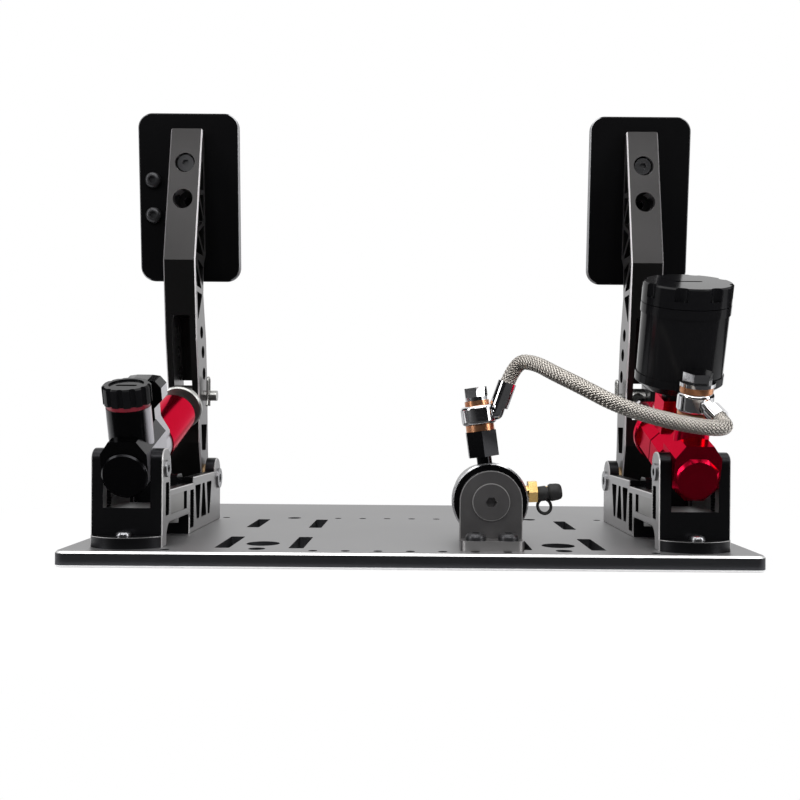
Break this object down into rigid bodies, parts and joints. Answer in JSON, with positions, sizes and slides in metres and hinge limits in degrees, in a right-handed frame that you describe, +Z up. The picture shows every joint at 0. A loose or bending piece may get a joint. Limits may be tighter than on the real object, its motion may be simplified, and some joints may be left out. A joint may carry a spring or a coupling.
{
  "type": "sim racing pedal set",
  "caption": "Throttle and hydraulic brake pedals on a slotted base plate, with cylinders, a reservoir, a braided hose and a slave cylinder.",
  "frame": {"origin": "middle of the base plate's underside", "axes": "+Z up, +Y towards the driver, +X to the right seen from the cylinders' side"},
  "size_m": [0.4256, 0.3281, 0.3234],
  "materials": {
    "grey_anodised": "satin grey anodised with bright cut edges",
    "black_anodised": "black anodised with machined edges",
    "black_gloss": "gloss black moulding",
    "red_anodised": "bright red anodised",
    "silver_panel": "brushed bare metal",
    "zinc": "zinc plated",
    "chrome_steel": "polished",
    "bolt_steel": "plated steel",
    "black_steel": "black oxide",
    "copper": "soft copper",
    "brass_fitting": "plain brass",
    "bronze_bush": "sintered bronze",
    "soft_rubber": "moulded rubber",
    "steel_braid": "woven stainless braid",
    "red_seal": "soft red seal",
    "slave_grey": "satin dark grey coat"
  },
  "bodies": {
    "base": {"base_plate": "grey_anodised", "throttle_bracket": "black_anodised", "brake_bracket": "black_anodised", "throttle_stop_block": "black_gloss", "brake_stop_block": "black_gloss", "side_panels": "silver_panel", "arm_shafts": "bolt_steel", "shaft_caps": "bolt_steel", "rear_pins": "bolt_steel", "lip_screws": "bolt_steel", "under_screws": "bolt_steel", "stop_screws": "black_steel", "slave_bracket": "slave_grey", "slave_screws": "black_steel", "slave_body": "black_anodised", "slave_plug": "slave_grey", "slave_end_cap": "black_anodised", "slave_piston": "black_anodised", "slave_pad": "soft_rubber", "slave_adaptor": "black_anodised", "slave_banjo": "chrome_steel", "slave_bolt": "chrome_steel", "slave_washers": "copper", "bleed_nipple": "brass_fitting", "bleed_cap": "soft_rubber", "brake_hose": "steel_braid"},
    "throttle_arm": {"throttle_arm": "black_anodised", "throttle_bushes": "bronze_bush", "throttle_face_plate": "black_anodised", "throttle_face_screw": "black_steel", "side_screws": "black_steel", "throttle_clevis_pin": "zinc", "throttle_clip": "zinc"},
    "brake_arm": {"brake_arm": "black_anodised", "brake_bushes": "bronze_bush", "brake_face_plate": "black_anodised", "brake_face_screw": "black_steel", "brake_clevis_pin": "zinc", "brake_clip": "zinc"},
    "throttle_cylinder": {"throttle_body": "black_anodised", "throttle_seal": "red_seal", "throttle_tube": "red_anodised", "throttle_gland": "black_anodised"},
    "throttle_rod": {"throttle_rod": "bolt_steel", "throttle_ring": "zinc", "throttle_nut": "zinc", "throttle_eye": "zinc"},
    "throttle_filler": {"throttle_cap": "black_gloss"},
    "brake_cylinder": {"brake_body": "red_anodised", "brake_front_ring": "red_anodised", "reservoir": "black_gloss", "port_banjo": "chrome_steel", "port_bolt": "chrome_steel", "port_washers": "copper"},
    "brake_rod": {"brake_rod": "bolt_steel", "brake_nut": "chrome_steel", "brake_eye": "zinc"},
    "reservoir_lid": {"reservoir_cap": "black_gloss"}
  },
  "joints": [
    {"name": "throttle_pedal", "type": "hinge", "parent": "base", "child": "throttle_arm", "pos_m": [-0.174, 0.022, 0.042], "axis": [1, 0, 0], "range_deg": [0, 12], "stiffness_Nm_per_rad": 6, "springref_deg": -6.88},
    {"name": "throttle_swing", "type": "hinge", "parent": "base", "child": "throttle_cylinder", "pos_m": [-0.174, -0.127, 0.0575], "axis": [1, 0, 0], "range_deg": [-0.05, 0.99]},
    {"name": "throttle_push", "type": "slide", "parent": "throttle_cylinder", "child": "throttle_rod", "axis": [0, 0.9478, 0.319], "range_m": [-0.01359, 0.0003]},
    {"name": "brake_pedal", "type": "hinge", "parent": "base", "child": "brake_arm", "pos_m": [0.174, 0.022, 0.042], "axis": [1, 0, 0], "range_deg": [0, 9], "stiffness_Nm_per_rad": 60, "springref_deg": -6.88},
    {"name": "brake_swing", "type": "hinge", "parent": "base", "child": "brake_cylinder", "pos_m": [0.174, -0.127, 0.0575], "axis": [1, 0, 0], "range_deg": [-0.05, 0.85834], "deforming": ["brake_hose"]},
    {"name": "brake_push", "type": "slide", "parent": "brake_cylinder", "child": "brake_rod", "axis": [0, 0.9478, 0.319], "range_m": [-0.01023, 0.0003]},
    {"name": "filler_turn", "type": "hinge", "parent": "throttle_cylinder", "child": "throttle_filler", "pos_m": [-0.174, -0.13567, 0.10206], "axis": [0, -0.319, 0.9478], "range_deg": [0, 90]},
    {"name": "lid_turn", "type": "hinge", "parent": "brake_cylinder", "child": "reservoir_lid", "pos_m": [0.174, -0.1161, 0.1709], "axis": [0, -0.319, 0.9478], "range_deg": [0, 90]}
  ],
  "couplings": [
    {"joint": "throttle_swing", "follows": "throttle_pedal", "ratio": 0.07436},
    {"joint": "throttle_push", "follows": "throttle_pedal", "m_per_rad": -0.063457},
    {"joint": "brake_swing", "follows": "brake_pedal", "ratio": 0.08426},
    {"joint": "brake_push", "follows": "brake_pedal", "m_per_rad": -0.063214}
  ]
}
